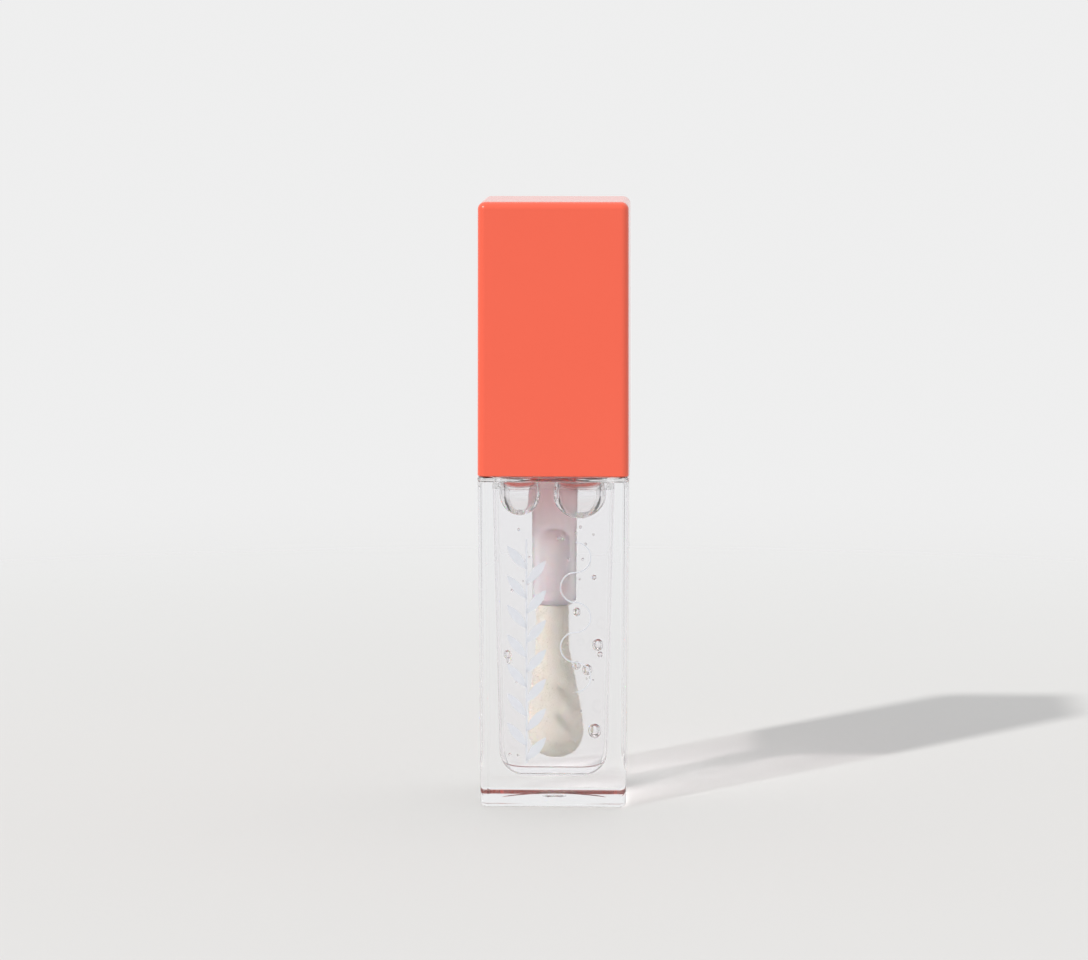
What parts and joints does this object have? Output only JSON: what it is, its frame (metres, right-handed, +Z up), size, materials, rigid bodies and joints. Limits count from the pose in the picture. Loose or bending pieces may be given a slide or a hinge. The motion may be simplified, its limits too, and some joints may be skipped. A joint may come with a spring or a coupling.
{
  "type": "lip gloss tube",
  "caption": "Square clear tube of lip gloss with an opaque screw cap, a threaded neck insert, a wiper and a flocked wand applicator inside.",
  "frame": {"origin": "centre of the base, on the surface that the tube stands on", "axes": "+Z up along the tube towards the cap, the printed front faces -Y, +X to the right seen from the front"},
  "size_m": [0.02, 0.02, 0.0805],
  "materials": {
    "clear_bottle": "polished, thick, water clear copolyester",
    "clear_neck": "polished, water clear",
    "wiper_plastic": "soft, milky, low density polyethylene",
    "gloss_liquid": "clear liquid with a faint lilac tint and small air bubbles",
    "white_ink": "screen printed white ink",
    "seal_foam": "fine closed cell foam",
    "stem_plastic": "translucent polypropylene, faintly pink",
    "coral_cap": "smooth coral, satin to gloss",
    "coral_inner_cap": "moulded coral polypropylene",
    "applicator_plastic": "flexible moulded core",
    "flock": "short nylon flock, wet with gloss"
  },
  "bodies": {
    "bottle": {"bottle_body": "clear_bottle", "neck_insert": "clear_neck", "wiper": "wiper_plastic", "gloss": "gloss_liquid", "front_print": "white_ink"},
    "seal": {"seal_ring": "seal_foam"},
    "stem": {"wand_stem": "stem_plastic"},
    "cap": {"cap_shell": "coral_cap", "inner_cap": "coral_inner_cap", "applicator_core": "applicator_plastic", "flock_coat": "flock"}
  },
  "joints": [
    {"name": "wand_pull", "type": "slide", "parent": "bottle", "child": "seal", "axis": [0, 0, 1], "range_m": [0, 0.065], "deforming": ["wiper", "gloss"]},
    {"name": "cap_rise", "type": "slide", "parent": "seal", "child": "stem", "axis": [0, 0, 1], "range_m": [0, 0.0045]},
    {"name": "cap_twist", "type": "hinge", "parent": "stem", "child": "cap", "pos_m": [0, 0, 0.06], "axis": [0, 0, 1], "range_deg": [0, 540]}
  ],
  "couplings": [
    {"joint": "cap_rise", "follows": "cap_twist", "m_per_rad": 0.00047746}
  ]
}
